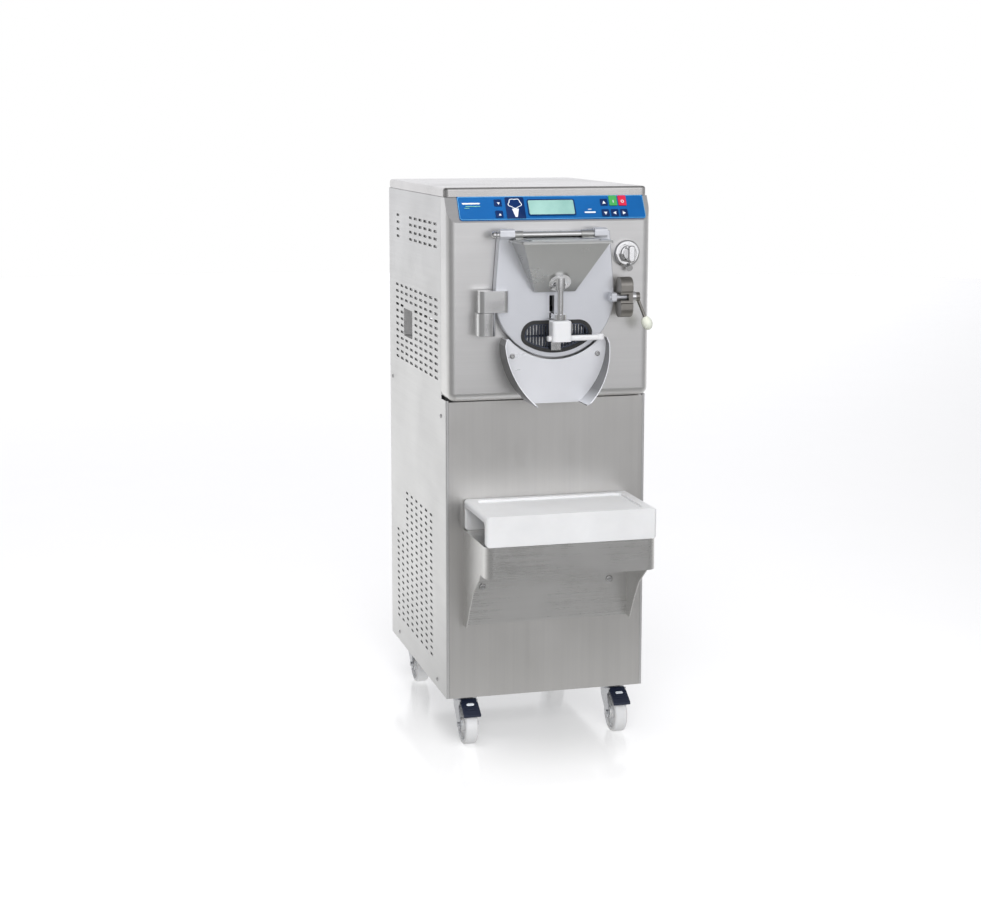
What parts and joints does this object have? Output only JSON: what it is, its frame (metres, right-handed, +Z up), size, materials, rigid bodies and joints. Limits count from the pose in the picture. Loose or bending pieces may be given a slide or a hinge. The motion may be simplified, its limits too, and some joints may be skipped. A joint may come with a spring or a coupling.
{
  "type": "ice cream batch freezer",
  "caption": "Floor-standing batch freezer on castors: hopper and gate on a hinged front door, horizontal beater cylinder, chute and pan shelf.",
  "frame": {"origin": "on the floor, under the middle of the machine's overall outline seen from above", "axes": "+Z up, the machine's front with its door and shelf faces -Y, its right-hand side as the operator sees it is +X"},
  "size_m": [0.515, 0.898, 1.386],
  "materials": {
    "cabinet_steel": "satin brushed, vertical grain",
    "side_steel": "satin brushed",
    "lid_steel": "satin brushed",
    "housing_steel": "satin brushed, horizontal grain",
    "door_steel": "fine satin",
    "hopper_steel": "satin",
    "chute_steel": "polished satin",
    "bracket_steel": "satin brushed",
    "bright_steel": "polished",
    "screw_steel": "polished",
    "frame_paint": "semi-matt grey paint",
    "machinery_black": "black enamel",
    "motor_paint": "grey enamel",
    "fin_aluminium": "mill finish",
    "cast_alu": "as cast",
    "pipe_copper": "bare copper",
    "zinc_castor": "zinc plated",
    "label_blue": "printed polyester",
    "lcd": "liquid crystal window",
    "key_green": "moulded",
    "key_red": "moulded",
    "white_plastic": "moulded acetal",
    "white_tray": "moulded polyethylene",
    "cream_plastic": "moulded",
    "white_nylon": "moulded nylon",
    "black_rubber": "matt",
    "foam": "rigid foam",
    "pedal_black": "moulded",
    "grille_steel": "satin",
    "belt_rubber": "matt",
    "box_grey": "grey paint",
    "dark_plastic": "moulded"
  },
  "bodies": {
    "cabinet": {"chassis_frame": "frame_paint", "left_side_panel": "side_steel", "right_side_panel": "side_steel", "rear_panel": "side_steel", "top_lid": "lid_steel", "lower_front_panel": "cabinet_steel", "upper_front_housing": "housing_steel", "machine_screws": "screw_steel", "control_label": "label_blue", "display_window": "lcd", "electrical_box": "box_grey", "freezing_cylinder": "bright_steel", "cylinder_insulation": "foam", "bearing_housing": "cast_alu", "motor": "motor_paint", "drive_belt": "belt_rubber", "compressor": "machinery_black", "condenser": "fin_aluminium", "fan_shroud": "machinery_black", "refrigerant_pipes": "pipe_copper", "water_inlet": "bright_steel", "cable_gland": "dark_plastic", "hinge_post": "door_steel", "hinge_pin": "bright_steel", "lock_bracket": "bright_steel", "tap_escutcheon": "bright_steel", "chute": "chute_steel", "shelf_bracket": "bracket_steel", "castor_plates": "zinc_castor"},
    "door": {"door_plate": "door_steel", "door_gasket": "black_rubber", "outlet_gasket": "black_rubber", "outlet_grille": "grille_steel", "hopper": "hopper_steel", "lid_rod": "bright_steel", "hinge_arm": "door_steel", "gate_rod": "bright_steel"},
    "gate": {"gate_plate": "bright_steel"},
    "gate_grip": {"gate_handle": "white_plastic"},
    "lid": {"hopper_lid": "hopper_steel"},
    "lock": {"lock_cam": "hopper_steel", "lock_knob": "cream_plastic"},
    "tap": {"tap_knob": "bright_steel"},
    "tray": {"shelf_tray": "white_tray"},
    "beater_group": {"beater": "bright_steel", "driven_pulley": "cast_alu"},
    "motor_rotor": {"motor_pulley": "cast_alu"},
    "fan": {"condenser_fan": "dark_plastic"},
    "start": {"start_key": "key_green"},
    "stop": {"stop_key": "key_red"},
    "front_left_castor": {"front_left_fork": "zinc_castor"},
    "front_left_roller": {"front_left_wheel": "white_nylon"},
    "front_left_brake": {"front_left_pedal": "pedal_black"},
    "front_right_castor": {"front_right_fork": "zinc_castor"},
    "front_right_roller": {"front_right_wheel": "white_nylon"},
    "front_right_brake": {"front_right_pedal": "pedal_black"},
    "rear_left_castor": {"rear_left_fork": "zinc_castor"},
    "rear_left_roller": {"rear_left_wheel": "white_nylon"},
    "rear_right_castor": {"rear_right_fork": "zinc_castor"},
    "rear_right_roller": {"rear_right_wheel": "white_nylon"}
  },
  "joints": [
    {"name": "door_swing", "type": "hinge", "parent": "cabinet", "child": "door", "pos_m": [-0.1715, -0.287, 1.092], "axis": [0, 0, -1], "range_deg": [0, 110]},
    {"name": "gate_lift", "type": "slide", "parent": "door", "child": "gate", "axis": [0, 0, 1], "range_m": [0, 0.04]},
    {"name": "grip_turn", "type": "hinge", "parent": "gate", "child": "gate_grip", "pos_m": [0.003, -0.327, 1.048], "axis": [0, 0, -1], "range_deg": [0, 90]},
    {"name": "lid_open", "type": "hinge", "parent": "door", "child": "lid", "pos_m": [0, -0.293, 1.276], "axis": [-1, 0, 0], "range_deg": [0, 100]},
    {"name": "lock_turn", "type": "hinge", "parent": "cabinet", "child": "lock", "pos_m": [0.171, -0.306, 1.123], "axis": [-1, 0, 0], "range_deg": [0, 90]},
    {"name": "tap_turn", "type": "hinge", "parent": "cabinet", "child": "tap", "pos_m": [0.191, -0.287, 1.225], "axis": [0, -1, 0], "range_deg": [0, 90]},
    {"name": "tray_lift", "type": "slide", "parent": "cabinet", "child": "tray", "axis": [0, 0, 1], "range_m": [0, 0.15]},
    {"name": "start_press", "type": "slide", "parent": "cabinet", "child": "start", "axis": [0, 0.8448, -0.5351], "range_m": [0, 0.0012], "stiffness_N_per_m": 900},
    {"name": "stop_press", "type": "slide", "parent": "cabinet", "child": "stop", "axis": [0, 0.8448, -0.5351], "range_m": [0, 0.0012], "stiffness_N_per_m": 900},
    {"name": "beater_spin", "type": "hinge", "parent": "cabinet", "child": "beater_group", "pos_m": [0.003, -0.127, 1.122], "axis": [0, 1, 0], "continuous": true},
    {"name": "motor_spin", "type": "hinge", "parent": "cabinet", "child": "motor_rotor", "pos_m": [0.003, 0.173, 0.8], "axis": [0, 1, 0], "continuous": true},
    {"name": "fan_spin", "type": "hinge", "parent": "cabinet", "child": "fan", "pos_m": [-0.135, 0.128, 0.37], "axis": [1, 0, 0], "continuous": true},
    {"name": "front_left_swivel", "type": "hinge", "parent": "cabinet", "child": "front_left_castor", "pos_m": [-0.195, -0.168, 0.112], "axis": [0, 0, 1], "continuous": true},
    {"name": "front_left_roll", "type": "hinge", "parent": "front_left_castor", "child": "front_left_roller", "pos_m": [-0.195, -0.201, 0.05], "axis": [1, 0, 0], "continuous": true},
    {"name": "front_left_pedal_lift", "type": "hinge", "parent": "front_left_castor", "child": "front_left_brake", "pos_m": [-0.195, -0.206, 0.111], "axis": [-1, 0, 0], "range_deg": [0, 12]},
    {"name": "front_right_swivel", "type": "hinge", "parent": "cabinet", "child": "front_right_castor", "pos_m": [0.195, -0.168, 0.112], "axis": [0, 0, 1], "continuous": true},
    {"name": "front_right_roll", "type": "hinge", "parent": "front_right_castor", "child": "front_right_roller", "pos_m": [0.195, -0.201, 0.05], "axis": [1, 0, 0], "continuous": true},
    {"name": "front_right_pedal_lift", "type": "hinge", "parent": "front_right_castor", "child": "front_right_brake", "pos_m": [0.195, -0.206, 0.111], "axis": [-1, 0, 0], "range_deg": [0, 12]},
    {"name": "rear_left_swivel", "type": "hinge", "parent": "cabinet", "child": "rear_left_castor", "pos_m": [-0.195, 0.377, 0.112], "axis": [0, 0, 1], "continuous": true},
    {"name": "rear_left_roll", "type": "hinge", "parent": "rear_left_castor", "child": "rear_left_roller", "pos_m": [-0.195, 0.344, 0.05], "axis": [1, 0, 0], "continuous": true},
    {"name": "rear_right_swivel", "type": "hinge", "parent": "cabinet", "child": "rear_right_castor", "pos_m": [0.195, 0.377, 0.112], "axis": [0, 0, 1], "continuous": true},
    {"name": "rear_right_roll", "type": "hinge", "parent": "rear_right_castor", "child": "rear_right_roller", "pos_m": [0.195, 0.344, 0.05], "axis": [1, 0, 0], "continuous": true}
  ],
  "couplings": [
    {"joint": "grip_turn", "follows": "gate_lift", "rad_per_m": 39.2},
    {"joint": "motor_spin", "follows": "beater_spin", "ratio": 2.5}
  ]
}
